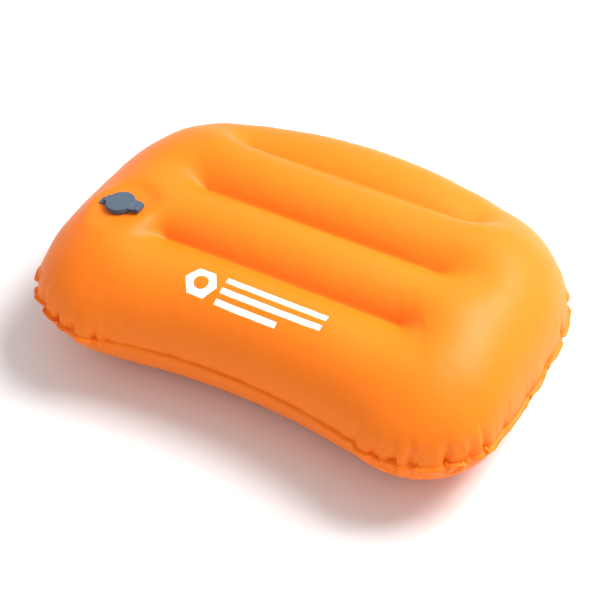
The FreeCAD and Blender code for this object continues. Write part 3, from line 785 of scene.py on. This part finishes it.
def press_folds(mesh, seam, feet, more):
    """Presses a sharp fold, steep on one side, into the fabric at each pleat's foot on the seam.

    Away from the seam the folds are more times deeper and longer.
    """
    points = np.array([vertex.co[:] for vertex in mesh.vertices])
    normals = np.array([normal.vector[:] for normal in mesh.vertex_normals])
    out = outward(seam)
    index, _ = nearest(seam, points)
    outer = np.column_stack([out[index], np.zeros(len(points))])
    away = np.linalg.norm(points - seam[index], axis=1)
    random = np.random.default_rng(8)
    move = np.zeros(len(points))
    for foot in feet:
        gap = points - seam[foot]
        along = gap[:, 1] * out[foot, 0] - gap[:, 0] * out[foot, 1]
        along += random.uniform(-FOLD_LEAN, FOLD_LEAN) * away
        side = random.choice([-1, 1]) * along
        profile = np.exp(np.where(side < 0, side / FOLD_SLOPE, -side / FOLD_STEP))
        profile *= np.exp(-away / (more * FOLD_LENGTH * random.uniform(*FOLD_LENGTHS)))
        profile *= fade_out(np.linalg.norm(gap, axis=1), FOLD_BAND / 2, FOLD_BAND)
        move = np.maximum(move, FOLD_DEPTH * random.uniform(*FOLD_DEPTHS) * profile)
    at_seam = np.exp(-away / MARGIN)[:, None]
    points -= (at_seam * outer + more * (1 - at_seam) * normals) * move[:, None]
    mesh.vertices.foreach_set("co", points.ravel())
    mesh.update()


def fabric_piece(name, points, faces, flat, strip, folds, materials):
    """A panel with its margin as one mesh, with the flat cloth's places as UVs."""
    seam, strip_points, strip_faces = strip
    first = len(points)
    mesh = bpy.data.meshes.new(name)
    every_face = [tuple(face) for face in faces.tolist()]
    every_face += [tuple(first + corner for corner in face) for face in strip_faces]
    mesh.from_pydata(np.vstack([points, strip_points]).tolist(), [], every_face)
    places = np.vstack([flat, strip_points[:, :2]])
    layer = mesh.uv_layers.new(name="cut")
    loops = np.array([loop.vertex_index for loop in mesh.loops])
    layer.data.foreach_set("uv", places[loops].ravel())
    mesh.polygons.foreach_set("use_smooth", [True] * len(mesh.polygons))
    # painted highlight: the outer half of the margin's faces take the second, paler material, as if the
    # lip caught the light
    painted_highlight_count = len(strip_faces) // 2
    slots = [0] * (len(mesh.polygons) - painted_highlight_count) + [1] * painted_highlight_count
    mesh.polygons.foreach_set("material_index", slots)
    mesh = finer_mesh(mesh, seam)
    press_folds(mesh, seam, *folds)
    mesh.materials.clear()
    for material in materials:
        mesh.materials.append(material)
    piece = bpy.data.objects.new(name, mesh)
    bpy.context.scene.collection.objects.link(piece)
    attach(piece, "pillow")
    return piece


def make_fabric():
    """The top and the bottom panel."""
    seam = outline(MARGIN, MM)
    top, under, faces, count, flat, feet = blown_panels(seam)
    top = seat_valve(top, count)
    hub = count + HOLE_POINTS
    open_faces = faces[~(faces == hub).any(axis=1)]
    hole = (open_faces >= count) & (open_faces < hub)
    open_faces = open_faces[~hole.all(axis=1)]
    joined = top[:count]
    # painted highlight: a paler orange for the margin's lip, standing in for the light that falls on it
    edge = fabric_material("orange_painted_highlight", PAINTED_LIP_HIGHLIGHT)
    orange = fabric_material("orange", ORANGE)
    marked = fabric_material("orange_printed", ORANGE, True)
    upper, lower = margin_strip(joined, 1), margin_strip(joined, -1)
    top_piece = fabric_piece("top_fabric", top, open_faces, flat, upper, (feet, 1), (marked, edge))
    under_piece = fabric_piece(
        "bottom_fabric", under, faces[:, ::-1], flat, lower, (feet, UNDER_FOLDS), (orange, edge)
    )
    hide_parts("top_panel")
    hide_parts("bottom_panel")


# ---- the valve and the baffles keep their CAD shapes ---------------------------------------------


def make_valve():
    """Gives the CAD nodes of the valve and the baffles their materials."""
    for name, nodes in MADE_OF.items():
        material = moulded_material(name)
        for node in nodes:
            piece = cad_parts[node]
            piece.data.materials.clear()
            piece.data.materials.append(material)


# ---- floor, light and camera ---------------------------------------------------------------------

VIEW_AZIMUTH = math.radians(28.48)
VIEW_ELEVATION = math.radians(44.78)
VIEW_DISTANCE = 1.3225
VIEW_TARGET = Vector((11.6, -46.7, 78.9)) * MM
LENS = 93.3
FLOOR_SIZE = 12  # metres
FLOOR_COLOUR = (0.85, 0.85, 0.85, 1)
ROOM_LIGHT = 0.68
SOFTBOX_PLACE = (0.62, 0.64, 1.3)
SOFTBOX_TARGET = Vector((0, 0, 60)) * MM
SOFTBOX_SIZE = 0.9
SOFTBOX_WATTS = 38


def aim(thing, place, target):
    """Puts a lamp or a camera in its place, facing target."""
    thing.location = place
    thing.rotation_euler = (Vector(place) - target).to_track_quat("Z", "Y").to_euler()


def make_floor():
    """A pale floor, which isn't part of the object."""
    bpy.ops.mesh.primitive_plane_add(size=FLOOR_SIZE)
    floor = bpy.context.object
    floor.name = "floor"
    material, _ = new_material("floor", base_color=FLOOR_COLOUR, roughness=0.9)
    floor.data.materials.append(material)


def make_light():
    """Even light from all round, and one softbox behind the pillow on the right."""
    world = bpy.data.worlds.new("studio")
    bpy.context.scene.world = world
    world.use_nodes = True
    room = world.node_tree.nodes["Background"].inputs
    room["Color"].default_value = (1, 1, 1, 1)
    room["Strength"].default_value = ROOM_LIGHT
    light = bpy.data.lights.new("softbox", "AREA")
    light.size = SOFTBOX_SIZE
    light.energy = SOFTBOX_WATTS
    lamp = bpy.data.objects.new("softbox", light)
    bpy.context.scene.collection.objects.link(lamp)
    aim(lamp, SOFTBOX_PLACE, SOFTBOX_TARGET)
    bpy.context.scene.view_settings.view_transform = "Standard"


def make_camera():
    """The camera, where the photo's camera seems to have been."""
    away = Euler((math.pi / 2 - VIEW_ELEVATION, 0, VIEW_AZIMUTH)).to_matrix() @ Vector((0, 0, 1))
    data = bpy.data.cameras.new("camera")
    data.lens = LENS
    camera = bpy.data.objects.new("camera", data)
    bpy.context.scene.collection.objects.link(camera)
    aim(camera, VIEW_TARGET + away * VIEW_DISTANCE, VIEW_TARGET)
    bpy.context.scene.camera = camera


make_fabric()
make_valve()
make_floor()
make_light()
make_camera()
